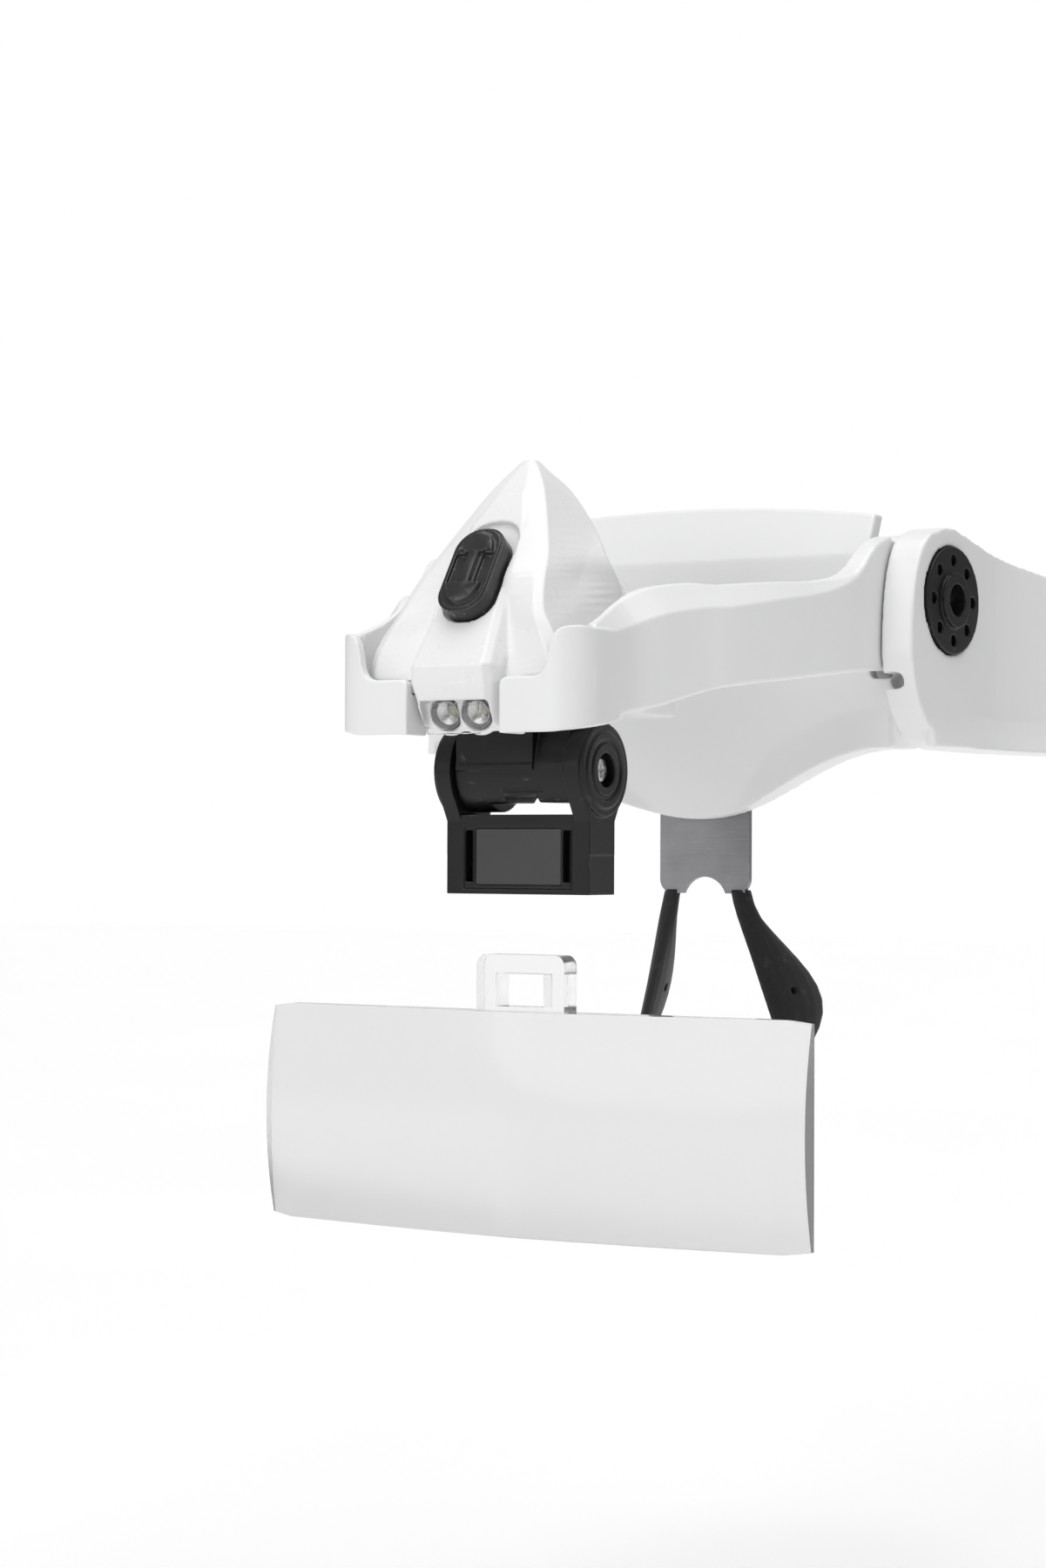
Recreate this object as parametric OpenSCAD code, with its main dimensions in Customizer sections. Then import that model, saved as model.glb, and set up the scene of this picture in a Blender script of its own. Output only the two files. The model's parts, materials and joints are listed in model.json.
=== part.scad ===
// Head visor magnifier: a brow frame with folding temples carries a tilting
// visor, which holds a small lamp and a hinged holder for slide-in lens plates.
// Millimetres. X runs across the face, -Y points away from the wearer, +Z is up.
// The origin is where the bridge of the nose sits, between the nose pads.

/* [Lens plate] */
// Width of the lens plate
lens_w = 95; // [90:0.5:100]
// Height of the lens plate
lens_h = 34; // [30:0.2:36]
// Thickness at the middle of the plate
lens_mid = 8.4; // [7:0.1:9]
// Thickness lost from the middle to either end
lens_fall = 5; // [3:0.1:5.4]
// Thickness lost from mid-height to the top or bottom edge
lens_sag = 2.3; // [1.5:0.1:2.4]
// Width of the tab that slides into the holder
tab_w = 15.5; // [14:0.1:15.6]
// Thickness of the tab
tab_t = 3.8; // [3:0.1:3.8]
// Height of the tab above the plate
tab_h = 8.6; // [8:0.1:8.8]
// Gap between the plate and the holder before it is pushed in
lens_gap = 17.8; // [12:0.1:24]

/* [Lens holder] */
// Width of the holder body
holder_w = 25.1; // [24:0.1:26]
// Depth of the holder body
holder_d = 7.9; // [7.5:0.1:8.2]
// Drop from the hinge axis to the holder's lower edge
holder_drop = 18.8; // [18:0.1:20]
// Radius of the round hinge ears
ear_r = 7.4; // [7:0.1:7.5]
// Hinge axis in front of the nose bridge
hinge_y = -62; // [-64:0.5:-60]
// Hinge axis above the nose bridge
hinge_z = 29; // [28.5:0.1:29.2]

/* [Lamp] */
// Top of the lamp housing
lamp_top = 76.5; // [75.5:0.5:78]
// Wall of the lamp housing
lamp_wall = 1.7; // [1.4:0.1:2]
// Diameter of each light
led_d = 4.9; // [4.6:0.1:5]
// Width of the switch knob
knob_w = 8.5; // [7:0.1:9]
// Length of the switch knob
knob_l = 15.5; // [13:0.5:16]
// Travel of the switch knob
knob_travel = 2.5; // [2:0.1:3]
// Diameter of each coin cell
cell_d = 20; // [16:1:20]
// Thickness of each coin cell
cell_t = 3.2; // [2.5:0.1:3.2]

/* [Visor frame] */
// Outer width of the cradle that holds the lamp
cradle_w = 43.6; // [43:0.1:44]
// Half width of the notch for the lamp's nose
notch_half = 8; // [7.9:0.1:9]
// Thickness of the arms
arm_t = 5; // [4.5:0.1:5.5]

/* [Head frame] */
// Half distance between the outer faces of the hubs
hub_x = 47.5; // [47:0.5:48.5]
// Hub axis in front of the nose bridge
hub_y = -11; // [-12:0.5:-10]
// Hub axis above the nose bridge
hub_z = 57; // [56.5:0.5:57.5]
// Radius of the outer hub cheek
hub_r = 11; // [10.5:0.5:11.5]
// Wall of the brow shell
brow_wall = 2.8; // [2.4:0.1:3.2]
// Sideways spread of each side frame behind the hub
flare = 20; // [18:0.5:22]

/* [Nose bracket] */
// Width of the steel bracket
bracket_w = 16.9; // [15:0.1:18]
// Thickness of the steel bracket
bracket_t = 1; // [0.8:0.1:1.2]

/* [Temples] */
// Length of a temple arm from its pin
temple_l = 96; // [85:1:105]
// Thickness of a temple arm
temple_t = 3.6; // [3:0.1:4]

/* [Hidden] */
$fn = 48;

// Colours
white = "whitesmoke";
black = [0.12, 0.12, 0.13];
steel = "silver";

// Hub stack, from the inside out
cheek_in = hub_x - 13.5;
cheek_out = hub_x - 10.2;
tongue_in = cheek_out + 0.35;
tongue_out = tongue_in + 3.15;
slot_out = tongue_out + 0.35;
slot_r = 12.6;
hub_pin_r = 2.2;
hub_tilt = 5;
disc_r = 8.6;

// Brow shell
brow_front = -20.6;
brow_top = 73.4;
crease_z = 64.3;
lobe_low = 22.3;
lobe_high = 33.4;
lobe_half = 39;
side_end = 44;

// Temple hinge
pin_x = hub_x + 1 + flare - 2.8;
pin_y = side_end + 3.6;
pin_r = 1.2;
knuckle_r = 2.9;
knuckle_low = 36.5;
knuckle_h = 5.2;
knuckle_top = 55;

// Cradle
cradle_half = cradle_w / 2;
cradle_wall = 1.6;
cradle_round = 6;
lip_front = -84.6;
lip_back = lip_front + cradle_wall;
lip_top = 42.1;
floor_low = 33.9;
floor_step = -70.6;
floor_rise = 2.3;
floor_t = 1.3;
bridge_z = 37;
bridge_back = -56;

// Lamp
seam_z = 42;
pivot_y = -66;
pivot_z = 41.2;
pivot_r = 1.5;
face_slope = 33.4;
snout_front = -85.6;
light_tilt = 20;
led_z = 37.1;
led_pitch = 5.3;
knob_z = 57.2;
knob_out = 2.8;
knob_sunk = 0.9;
cell_y = -62.95;
cell_z = 44.7;

// Lens
tab_y = hinge_y - 1;
lens_back = tab_y + tab_t / 2;
lens_top = hinge_z - holder_drop - lens_gap;
lens_offset = 18;

// ---------- helpers ----------

function quad(a, b, c, n) = [for (i = [0:n]) let (t = i / n)
    (1 - t) * (1 - t) * a + 2 * t * (1 - t) * b + t * t * c];
function arc(cx, cy, r, a0, a1, n) = [for (i = [0:n]) let (a = a0 + (a1 - a0) * i / n)
    [cx + r * cos(a), cy + r * sin(a)]];
function flip(points) = [for (i = [len(points) - 1:-1:0]) points[i]];

// Rows of a table with n - 1 more between each pair, on a smooth curve through all of them
function between(rows, n) = let (m = len(rows) - 1) [for (k = [0:m * n])
    let (i = min(m - 1, floor(k / n)), t = k / n - i, p = rows[i], q = rows[i + 1],
        u = i == 0 ? q - p : (q - rows[i - 1]) / 2, v = i == m - 1 ? q - p : (rows[i + 2] - p) / 2)
    p + t * (u + t * (3 * (q - p) - 2 * u - v + t * (2 * (p - q) + u + v)))];

// Closed solid through rings that run anticlockwise seen from the last ring
module loft(rings) {
    n = len(rings[0]);
    m = len(rings);
    points = [for (ring = rings) each ring];
    sides = [for (i = [0:m - 2], j = [0:n - 1]) let (a = i * n + j, b = i * n + (j + 1) % n)
        each [[a, a + n, b + n], [a, b + n, b]]];
    first = [for (j = [0:n - 1]) j];
    last = [for (j = [n - 1:-1:0]) (m - 1) * n + j];
    polyhedron(points, concat([first], sides, [last]), convexity = 6);
}

// Both sides of the face
module both() {
    children();
    mirror([1, 0, 0]) children();
}

// Outline in Y and Z, extruded across X
module across(x0, x1) {
    translate([x0, 0, 0]) rotate([90, 0, 90]) linear_extrude(x1 - x0) children();
}

// Outline in X and Z, extruded along Y
module along(y0, y1) {
    translate([0, y1, 0]) rotate([90, 0, 0]) linear_extrude(y1 - y0) children();
}

// Round bar across X
module bar(x0, x1, y, z, r) {
    translate([x0, y, z]) rotate([0, 90, 0]) cylinder(h = x1 - x0, r = r);
}

// Rounded rectangle centred on the origin
module plate(w, h, r) {
    union() {
        square([w - 2 * r, h], center = true);
        square([w, h - 2 * r], center = true);
        for (x = [-1, 1], y = [-1, 1]) translate([x * (w / 2 - r), y * (h / 2 - r)]) circle(r);
    }
}

// Pan-head screw pointing along -Z, its head above the origin
module screw(head_r, head_h, shank_r, shank_l) {
    difference() {
        union() {
            cylinder(h = head_h, r = head_r);
            translate([0, 0, -shank_l]) cylinder(h = shank_l + head_h * 0.4, r = shank_r);
        }
        for (a = [0, 90]) rotate([0, 0, a])
            translate([-head_r * 0.6, -0.22, head_h * 0.45]) cube([head_r * 1.2, 0.44, head_h]);
    }
}

// ---------- head frame ----------

function lobe_z(x) = let (t = min(abs(x), lobe_half) / lobe_half)
    lobe_low + (lobe_high - lobe_low) * (1 - cos(180 * t)) / 2;
function brow_z(x) = brow_top - 3 * pow(x / 40, 2);
hub_front = hub_y - 13;
function side_x(y) = y < 0 ? hub_x + tan(hub_tilt) * (y - hub_y)
    : hub_x + tan(hub_tilt) * (-hub_y) + (flare - 1) * (1 - cos(180 * y / side_end)) / 2;
function side_wall(y) = hub_x - slot_out - 2.2 * max(0, min(1, y / side_end));

// Profile of the brow: a leaning top band, an upright band and a lower sweep
function brow_path(inset) = concat(
    [[brow_front + 4.8 + inset * 1.05, brow_top + 1]],
    [[brow_front + inset, crease_z - inset * 0.3]],
    quad([brow_front - 0.3 + inset, 52], [brow_front - 0.3 + inset, 40 + inset],
        [-5.4 + inset * 1.1, 20], 9));

module brow_profile() {
    polygon(concat(brow_path(0), flip(brow_path(brow_wall))));
}

// Front view of the brow, wide below the tongue slots
module brow_outline(half, grow) {
    n = 24;
    low = [for (i = [0:2 * n]) let (x = -half + half * i / n) [x, lobe_z(x) - grow]];
    high = [for (i = [0:2 * n]) let (x = half - half * i / n) [x, brow_z(x)]];
    polygon(concat(low, high));
}

// Side view of a side frame: round hub in front, tapering back to the temple
module side_outline() {
    polygon(concat(
        quad([hub_front, 48], [hub_front, hub_z + 7], [hub_y - 6.4, hub_z + 10.2], 8),
        arc(hub_y, hub_z, hub_r + 0.6, 112, 76, 5),
        [[16, 62.6], [side_end, knuckle_top]],
        [[side_end, knuckle_low], [20, lobe_high - 0.4]],
        quad([-8, lobe_high], [hub_front + 2, lobe_high + 0.6], [hub_front, 48], 8)));
}

module side_plan() {
    n = 26;
    rows = [for (i = [0:n]) hub_front - 1 + (side_end - hub_front + 1) * i / n];
    polygon(concat([for (y = rows) [side_x(y), y]],
        [for (i = [n:-1:0]) [max(slot_out, side_x(rows[i]) - side_wall(rows[i])), rows[i]]]));
}

module side_frame() {
    intersection() {
        translate([0, 0, 20]) linear_extrude(60) side_plan();
        across(30, 80) side_outline();
    }
}

// Knuckles of the temple hinge that belong to the head frame
module frame_knuckles() {
    for (z = [knuckle_low, knuckle_top - knuckle_h]) {
        translate([pin_x, pin_y, z]) cylinder(h = knuckle_h, r = knuckle_r);
        translate([pin_x - 1.6, side_end - 1, z]) cube([knuckle_r + 1.6, pin_y - side_end + 1, knuckle_h]);
    }
}

module brow_shell() {
    color(white) difference() {
        union() {
            intersection() {
                across(-cheek_out, cheek_out) brow_profile();
                along(-40, 20) brow_outline(cheek_out, 0);
            }
            both() {
                intersection() {
                    across(cheek_out - 0.5, slot_out + 0.5) brow_profile();
                    translate([30, -40, lobe_high]) cube([20, 60, hub_z - slot_r - lobe_high]);
                }
                bar(cheek_in, cheek_out, hub_y, hub_z, hub_r - 1);
                translate([cheek_in, brow_front + 2, hub_z - 6])
                    cube([cheek_out - cheek_in, hub_y - brow_front - 2, 14]);
                translate([cheek_in, hub_y, 42]) cube([cheek_out - cheek_in, 16.5, 20]);
                translate([cheek_in, 2.2, 42]) cube([slot_out + 1 - cheek_in, 3.3, 20]);
                translate([cheek_in, hub_y - 4, 40.5]) cube([slot_out + 1 - cheek_in, 20.5, 3.4]);
                side_frame();
                frame_knuckles();
            }
            // Boss behind the lobe that takes the nose bracket
            across(-9.5, 9.5) polygon([[brow_y(27) + 1, 27], [brow_y(38) + 1, 38],
                [bracket_y - bracket_t / 2, 38], [bracket_y - bracket_t / 2, 27]]);
        }
        both() {
            bar(cheek_out, slot_out, hub_y, hub_z, slot_r);
            bar(cheek_in - 1, hub_x + 4, hub_y, hub_z, hub_pin_r);
            translate([hub_x, hub_y, hub_z]) rotate([0, 0, -hub_tilt]) bar(-2.2, 6, 0, 0, disc_r + 0.1);
            bar(hub_x - 3.8, hub_x + 3, hub_y, hub_z, 3.6);
            bar(cheek_in - 2, cheek_in + 1, hub_y, hub_z, 3.4);
            bar(cheek_out - 0.6, cheek_out + 0.1, hub_y, hub_z, 5.1);
            translate([pin_x, pin_y, knuckle_low - 1]) cylinder(h = 22, r = pin_r);
            // Narrow slit in the lower edge
            translate([26.5, -20, 32.4]) rotate([0, -8, 0]) cube([4.4, 30, 1]);
            // Wide mouth below each tongue slot
            along(hub_front - 1, hub_front + 7.6) translate([42.6, 43.8]) plate(3.8, 2.6, 1.29);
            translate([pin_x - 4, side_end + 0.4, knuckle_low + knuckle_h])
                cube([10, 12, knuckle_top - knuckle_low - 2 * knuckle_h]);
        }
        for (x = [-5, 5]) translate([x, -10.6, 33]) rotate([-90, 0, 0]) cylinder(h = 9, r = 0.9);
        translate([-bracket_w / 2 - 0.3, bracket_y - bracket_t / 2, 20]) cube([bracket_w + 0.6, 4, 22]);
    }
}

// Front of the brow at a height in its lower sweep
function brow_y(z) = let (c = quad([brow_front - 0.3, 52], [brow_front - 0.3, 40], [-5.4, 20], 9))
    lookup(z, [for (p = c) [p[1], p[0]]]);

// Detent disc set in the outer face of a hub
module hub_disc() {
    color(black) difference() {
        translate([hub_x, hub_y, hub_z]) rotate([0, 0, -hub_tilt]) difference() {
            union() {
                bar(-2.15, 0.5, 0, 0, disc_r);
                bar(0.4, 1.2, 0, 0, 4.4);
            }
            for (a = [0:45:315]) rotate([a, 0, 0]) bar(-0.5, 2, 0, 6.4, 0.95);
        }
        bar(hub_x - 5, hub_x + 5, hub_y, hub_z, 2.6);
    }
}
module hub_disc_left() hub_disc();
module hub_disc_right() mirror([1, 0, 0]) hub_disc();

module hub_screws() {
    color(steel) both() translate([hub_x - 3.8, hub_y, hub_z]) rotate([0, 90, 0])
        screw(2.5, 2.6, hub_pin_r, hub_x - 3.8 - cheek_in + 0.9);
}

module hub_nuts() {
    color(steel) both() difference() {
        translate([cheek_in - 1.4, hub_y, hub_z]) rotate([0, 90, 0]) cylinder(h = 2.4, r = 3.3, $fn = 6);
        bar(cheek_in - 2, cheek_in + 3, hub_y, hub_z, hub_pin_r);
    }
}

// Spring washers that press each tongue and hold the tilt by friction
module hub_washers() {
    color(steel) both() difference() {
        bar(cheek_out - 0.6, cheek_out + 0.05, hub_y, hub_z, 5);
        bar(cheek_out - 1, cheek_out + 1, hub_y, hub_z, hub_pin_r + 0.05);
    }
}

// ---------- nose bracket and pads ----------

bracket_y = -4;
bracket_low = 9.8;
bracket_high = 37;
pad_z = [10.4, -17.4];

module nose_bracket() {
    color(steel) difference() {
        union() {
            along(bracket_y - bracket_t / 2, bracket_y + bracket_t / 2) difference() {
                translate([0, (bracket_low + bracket_high) / 2])
                    plate(bracket_w, bracket_high - bracket_low, 2.4);
                translate([0, bracket_low - 1.4]) circle(4.2);
            }
            // Wires that run down inside the pads
            both() hull() {
                translate([6.4, bracket_y, bracket_low + 1.2]) rotate([90, 0, 0])
                    cylinder(h = bracket_t, r = 0.9, center = true, $fn = 24);
                translate([pad_x(0) + 1.2, bracket_y + 2.2, 0]) sphere(0.6, $fn = 16);
            }
        }
        for (x = [-5, 5]) translate([x, bracket_y - 2, 33]) rotate([-90, 0, 0]) cylinder(h = 4, r = 0.95);
    }
}

module bracket_screws() {
    color(steel) for (x = [-5, 5]) translate([x, bracket_y + bracket_t / 2, 33]) rotate([-90, 0, 0])
        screw(1.8, 0.9, 0.85, 7);
}

// Leaf-shaped rubber pad: narrow at the top, broad and spreading backwards below
function pad_x(z) = 6 + 8.2 * pow((pad_z[0] - z) / (pad_z[0] - pad_z[1]), 1.1);
function pad_ring(t) = let (z = pad_z[0] + (pad_z[1] - pad_z[0]) * t, x = pad_x(z),
        w = 1.5 + 5 * sin(180 * pow(max(0, t - 0.12) / 0.9, 1.25)), h = 1.5 + 0.4 * sin(180 * t) - 0.5 * pow(t, 8),
        y = bracket_y + w - 1.1 + 2.8 * pow(t, 1.2), n = 14)
    [for (j = [0:n - 1]) let (a = -360 * j / n)
        [x + h * cos(a) + 0.3 * w * (1 + sin(a)), y + w * sin(a), z]];

module nose_pad() {
    steps = 12;
    color(black) difference() {
        loft([for (i = [0:steps]) pad_ring(i / steps)]);
        translate([pad_x(-7) - 8, 1.6, -6.5]) rotate([0, 90, 0]) cylinder(h = 18, r = 0.7);
        nose_bracket();
    }
}
module nose_pad_left() nose_pad();
module nose_pad_right() mirror([1, 0, 0]) nose_pad();

// ---------- temples ----------

temple_mid = (knuckle_low + knuckle_top) / 2;
temple_drop = 30;
temple_bend = 62;

module temple_pins() {
    color(steel) both() translate([pin_x, pin_y, knuckle_low - 0.3])
        cylinder(h = knuckle_top - knuckle_low + 0.6, r = pin_r);
}

// Centre line of a temple arm: straight, then curving down behind the ear and inwards
function temple_c(s) = let (k = max(0, s - temple_bend) / (temple_l - temple_bend), a = temple_drop * k)
    [pin_x - 0.2 - 5 * k * k, pin_y + min(s, temple_bend) + (temple_l - temple_bend) * k * (1 - 0.1 * k),
     temple_mid - (temple_l - temple_bend) * 0.3 * k * k];
function temple_half(s) = 5.6 - 2 * s / temple_l;

function temple_ring(s, t, h) = let (c = temple_c(s), w = t / 2, b = min(w, h) * 0.45)
    [for (p = [[-w, -h + b], [-w + b, -h], [w - b, -h], [w, -h + b],
               [w, h - b], [w - b, h], [-w + b, h], [-w, h - b]])
        [c[0] + p[0], c[1], c[2] + p[1]]];

module temple() {
    steps = 14;
    inner_h = knuckle_top - knuckle_low - 2 * knuckle_h - 0.8;
    color(white) difference() {
        union() {
            loft([for (i = [0:steps]) let (s = 2 + (temple_l - 4) * i / steps)
                flip(temple_ring(s, temple_t - 0.8 * i / steps, temple_half(s)))]);
            translate([pin_x, pin_y, temple_mid - inner_h / 2]) cylinder(h = inner_h, r = knuckle_r - 0.1);
        }
        translate([pin_x, pin_y, knuckle_low]) cylinder(h = 30, r = pin_r + 0.04);
        translate([pin_x - 5, pin_y - 6, temple_mid + inner_h / 2]) cube([10, 9.6, 10]);
        translate([pin_x - 5, pin_y - 6, temple_mid - inner_h / 2 - 10]) cube([10, 9.6, 10]);
    }
}
module temple_left() temple();
module temple_right() mirror([1, 0, 0]) temple();

// Soft sleeve over the end of a temple arm
module temple_sleeve() {
    steps = 12;
    color(black) difference() {
        loft([for (i = [0:steps]) let (s = temple_l * 0.55 + (temple_l * 0.45 + 2) * i / steps, e = i == steps ? 0.6 : 1)
            flip(temple_ring(s, (temple_t + 1.8) * e, (temple_half(s) + 1) * e))]);
        loft([for (i = [0:14]) let (s = 2 + (temple_l - 4) * i / 14)
            flip(temple_ring(s, temple_t - 0.8 * i / 14, temple_half(s)))]);
    }
}
module temple_sleeve_left() temple_sleeve();
module temple_sleeve_right() mirror([1, 0, 0]) temple_sleeve();

// ---------- visor frame ----------

// Stations of an arm's outer face: x, y, lower edge, edge of the bevel, rise of the bevel, wall
arm_stations = [
    [cradle_half, -78.6, 35.2, 48.3, 1.4, 2.4],
    [cradle_half + 0.1, -74, 36.2, 48.9, 2.6, 3],
    [cradle_half + 0.9, -69.5, 37.3, 50.2, 3.6, 3.8],
    [cradle_half + 3.3, -65, 38.4, 51.9, 4, arm_t],
    [28.4, -58.2, 40.6, 53.2, 3.9, arm_t],
    [30.6, -54.4, 41.5, 53.5, 3.5, arm_t],
    [34.6, -46, 42.7, 55.1, 2.8, arm_t - 0.3],
    [38.2, -37, 43.9, 56.8, 1.8, arm_t - 0.8],
    [40.3, -30.5, 44.7, 59.6, 0.7, 3.8],
    [tongue_out, -25, 45.2, 64.4, 0.5, 3.2],
    [tongue_out, -19, 45.6, 66.6, 0.4, tongue_out - tongue_in]];

function arm_ring(s) = let (x = s[0], y = s[1], lo = s[2], hi = s[3], v = s[4], t = s[5], b = min(v * 0.8, t - 0.6))
    [[x, y, lo + 0.6], [x, y, hi], [x - b, y, hi + v], [x - t, y, hi + v], [x - t, y, lo], [x - 0.6, y, lo]];

module arm() {
    loft([for (s = between(arm_stations, 3)) flip(arm_ring(s))]);
    bar(tongue_in, tongue_out, hub_y, hub_z, 10.8);
    translate([tongue_in, -19.2, 45.6]) cube([tongue_out - tongue_in, 8.2, 20.6]);
}

// Front view of the cradle wall: low lip, then a curved step up on either side
module cradle_front_outline() {
    x = cradle_half - 3.2;
    polygon(concat(
        [[notch_half, floor_low], [x - 2, floor_low], [x + 2.5, floor_low + 0.8], [x + 3.5, floor_low + 1.5]],
        [[x + 3.5, 48.9], [x + 1.5, 49.4], [x, 49.2]],
        quad([x - 0.6, 49], [x - 2, 48.4], [x - 2.4, 45.4], 5),
        quad([x - 2.5, 44.6], [x - 2.9, lip_top], [x - 4.9, lip_top], 5),
        arc(notch_half + 1.2, lip_top - 1.2, 1.2, 90, 180, 4)));
}

// Plan of the cradle wall, round at the corner
module cradle_plan(inset) {
    x = cradle_half - cradle_round;
    y = lip_front + cradle_round;
    polygon(concat([[0, y + 20], [0, lip_front + inset]],
        arc(x, y, cradle_round - inset, -90, 0, 10), [[cradle_half - inset, y + 20]]));
}

module cradle() {
    difference() {
        union() {
            both() {
                difference() {
                    intersection() {
                        translate([0, 0, 30]) linear_extrude(20) difference() {
                            cradle_plan(0);
                            cradle_plan(cradle_wall);
                        }
                        along(lip_front - 1, -73) cradle_front_outline();
                    }
                    across(0, 30) polygon([[lip_front, 30], [lip_front, floor_low],
                        [floor_step, floor_low + floor_rise], [floor_step, 30]]);
                }
                // Pivot bosses inside the side walls
                translate([cradle_half - 3, -74, bridge_z]) cube([2.9, 18, 47.5 - bridge_z]);
                // Inside faces of the notch
                translate([notch_half, lip_front + 0.6, floor_low]) cube([1.2, 5, 6]);
            }
            // Front floor and the raised bridge above the holder's ears
            intersection() {
                both() translate([0, 0, floor_low]) linear_extrude(6) cradle_plan(0.8);
                across(-30, 30) polygon([[lip_front, floor_low], [floor_step, floor_low + floor_rise],
                    [floor_step, floor_low + floor_rise + floor_t], [lip_front, floor_low + floor_t]]);
            }
            translate([-cradle_half + 0.9, floor_step - floor_t, floor_low + floor_rise - 0.2])
                cube([cradle_w - 1.8, floor_t, bridge_z + floor_t - floor_low - floor_rise + 0.2]);
            translate([-cradle_half + 0.9, floor_step - floor_t, bridge_z])
                cube([cradle_w - 1.8, bridge_back - floor_step + floor_t, floor_t]);
        }
        translate([-notch_half, lip_front - 1, floor_low - 1]) cube([2 * notch_half, 9.5, 12]);
        bar(-22.6, 22.6, pivot_y, pivot_z, pivot_r + 0.04);
        for (x = [-6, 6]) translate([x, hinge_y, bridge_z - 1]) cylinder(h = 4, r = 1.1);
    }
}

module visor_frame() {
    color(white) difference() {
        union() {
            cradle();
            both() difference() {
                arm();
                bar(12, 22.6, pivot_y, pivot_z, pivot_r + 0.04);
            }
        }
        both() bar(tongue_in - 1, tongue_out + 1, hub_y, hub_z, hub_pin_r + 0.04);
    }
}

// Black block under the cradle that the holder's ears turn on
module hinge_block() {
    half = 9.7;
    color(black) difference() {
        union() {
            bar(-half, half, hinge_y, hinge_z, 6.3);
            across(-half, half) polygon([[hinge_y - 6.2, hinge_z + 1], [hinge_y - 4.6, bridge_z - 1.6],
                [hinge_y - 4.6, bridge_z], [hinge_y + 4.6, bridge_z], [hinge_y + 6.2, hinge_z + 1]]);
        }
        bar(-half - 1, half + 1, hinge_y, hinge_z, holder_pin_r + 0.04);
        // Flat cut and moulding pocket in the underside
        translate([-4.8, hinge_y - 7, hinge_z - 8]) cube([half + 6, 14, 3.1]);
        translate([-1.6, hinge_y - 4.8, hinge_z - 8]) cube([5.6, 9.6, 4.4]);
        for (x = [-6, 6]) translate([x, hinge_y, bridge_z - 6]) cylinder(h = 7, r = 0.9);
        translate([-half - 1, hinge_y - 7.4, hinge_z + 3.4]) cube([2 * half + 2, 1.7, 1]);
    }
}

module block_screws() {
    color(steel) for (x = [-6, 6]) translate([x, hinge_y, bridge_z + floor_t])
        screw(1.7, 0.55, 0.9, 6);
}

// ---------- lens holder and lens plate ----------

ear_in = 10;
ear_out = 13.1;
holder_pin_r = 1.2;
holder_low = hinge_z - holder_drop;
holder_high = hinge_z - 6.7;
slot_half = tab_w / 2 + 0.12;
slot_top = holder_low + tab_h + 0.5;
latch_z = (holder_low + holder_low + 10) / 2;

module ear_outline() {
    union() {
        translate([hinge_y, hinge_z]) circle(ear_r);
        polygon([[hinge_y - ear_r * 0.93, hinge_z - ear_r * 0.37], [hinge_y - holder_d / 2, holder_high - 1],
            [hinge_y - holder_d / 2, holder_low + 6], [hinge_y + holder_d / 2, holder_low + 6],
            [hinge_y + holder_d / 2, holder_high - 1], [hinge_y + ear_r * 0.93, hinge_z - ear_r * 0.37]]);
    }
}

module lens_holder() {
    color(black) difference() {
        union() {
            translate([-holder_w / 2, hinge_y - holder_d / 2, holder_low])
                cube([holder_w, holder_d, holder_high - holder_low]);
            both() {
                across(ear_in, ear_out - 0.5) ear_outline();
                // Proud round boss with a stepped rim
                bar(ear_out - 0.6, ear_out, hinge_y, hinge_z, ear_r - 0.35);
                bar(ear_out - 0.6, ear_out + 0.25, hinge_y, hinge_z, ear_r - 1.6);
            }
        }
        // Shallow groove ring and screw recess on each boss
        both() {
            difference() {
                bar(ear_out - 0.1, ear_out + 1, hinge_y, hinge_z, 4.6);
                bar(ear_out - 1, ear_out + 2, hinge_y, hinge_z, 4);
            }
            bar(ear_out - 1.6, ear_out + 1, hinge_y, hinge_z, 2.6);
        }
        bar(-20, 20, hinge_y, hinge_z, holder_pin_r);
        // Slot for the tab, open below, and its recessed front panel
        translate([-slot_half, tab_y - tab_t / 2 - 0.12, holder_low - 1])
            cube([2 * slot_half, tab_t + 0.24, slot_top - holder_low + 1]);
        translate([-9.5, hinge_y - holder_d / 2 - 1, holder_low + 0.8]) cube([19, 1.25, 9.6]);
        // Opening for the spring panel, with the relief slots either side
        for (x = [-8.6, 8.6]) translate([x - 0.7, hinge_y - holder_d / 2 - 1, holder_low + 1.9])
            cube([1.4, 3.2, 7.8]);
        translate([-7.6, hinge_y - holder_d / 2 - 1, holder_low + 1.4]) cube([15.2, 2, 8.6]);
        // Lightening pocket behind the slot
        translate([-9, hinge_y + holder_d / 2 - 0.8, holder_low + 2]) cube([18, 2, 7.4]);
    }
}

// Thin spring panel with a wedge nub that drops into the window of the tab
module lens_latch() {
    front = hinge_y - holder_d / 2 + 0.25;
    back = tab_y - tab_t / 2 - 0.12;
    color(black) union() {
        translate([-7.6, front, holder_low + 1.4]) cube([15.2, back - front, 8.6]);
        across(-2.6, 2.6) polygon([[back - 0.05, holder_low + 1.8], [back + 1.1, holder_low + 4.6],
            [back + 1.1, holder_low + 5.2], [back - 0.05, holder_low + 5.2]]);
    }
}

module holder_screw() {
    color(steel) translate([ear_out - 1.6, hinge_y, hinge_z]) rotate([0, 90, 0])
        screw(1.7, 0.9, holder_pin_r, 2 * ear_out - 3.4);
}

module holder_nut() {
    color(steel) difference() {
        translate([-ear_out + 0.1, hinge_y, hinge_z]) rotate([0, 90, 0]) cylinder(h = 1.5, r = 2.5, $fn = 6);
        bar(-20, 0, hinge_y, hinge_z, holder_pin_r);
    }
}

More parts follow.
